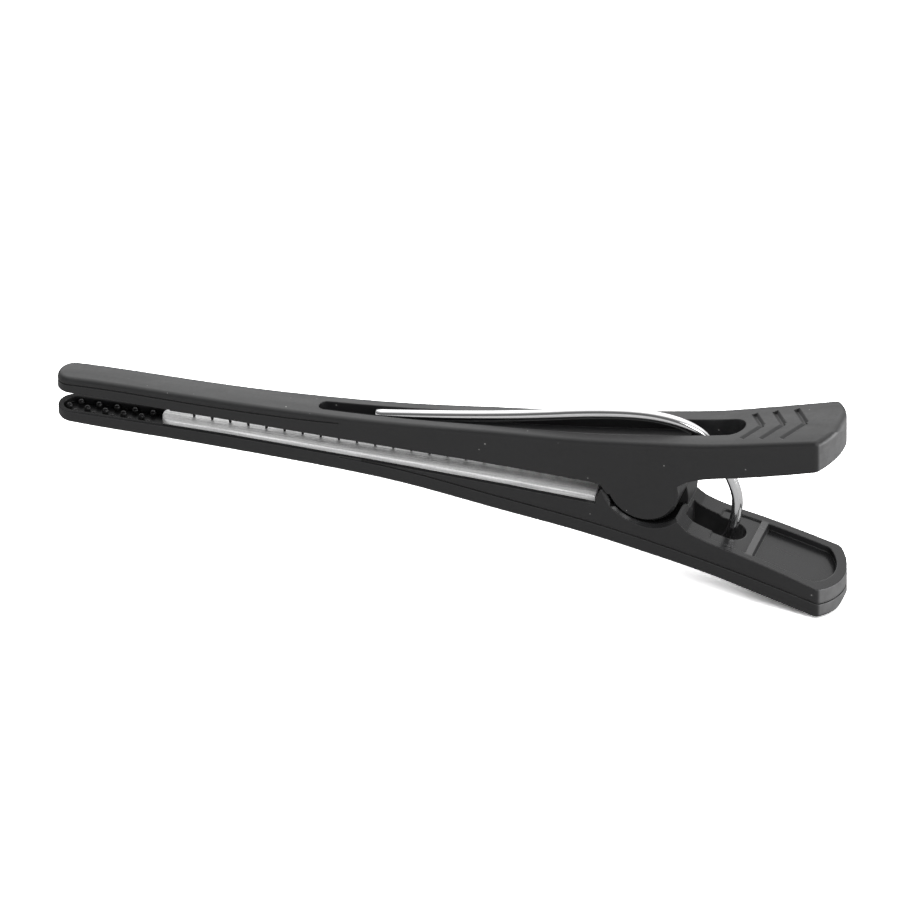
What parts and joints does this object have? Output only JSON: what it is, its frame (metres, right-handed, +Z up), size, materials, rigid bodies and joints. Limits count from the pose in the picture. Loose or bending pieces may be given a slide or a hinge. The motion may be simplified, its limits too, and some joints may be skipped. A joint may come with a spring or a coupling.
{
  "type": "sectioning clip",
  "caption": "Long two-arm hair sectioning clip with half-round rocking lobes, a bent wire spring, a metal strip in the lower jaw and tapered jaws with gripping bumps.",
  "frame": {"origin": "middle of the whole closed clip, on the plane of the rocking axis midway between the arms", "axes": "+X from the jaws towards the finger end, +Y along the rocking axis, +Z up from the lower arm to the upper arm"},
  "size_m": [0.1132, 0.0116, 0.0293],
  "materials": {
    "black_plastic": "satin black moulded plastic, finely textured outside and smoother inside",
    "strip_metal": "brushed along its length",
    "spring_wire": "bright drawn spring wire"
  },
  "bodies": {
    "lower": {"lower_arm": "black_plastic", "jaw_strip": "strip_metal", "wire_spring": "spring_wire"},
    "upper": {"upper_arm": "black_plastic"}
  },
  "joints": [
    {"name": "jaw_hinge", "type": "hinge", "parent": "lower", "child": "upper", "pos_m": [0.02888, 0, 0], "axis": [0, 1, 0], "range_deg": [0, 30], "stiffness_Nm_per_rad": 0.1, "springref_deg": -40.11, "deforming": ["wire_spring"]}
  ]
}
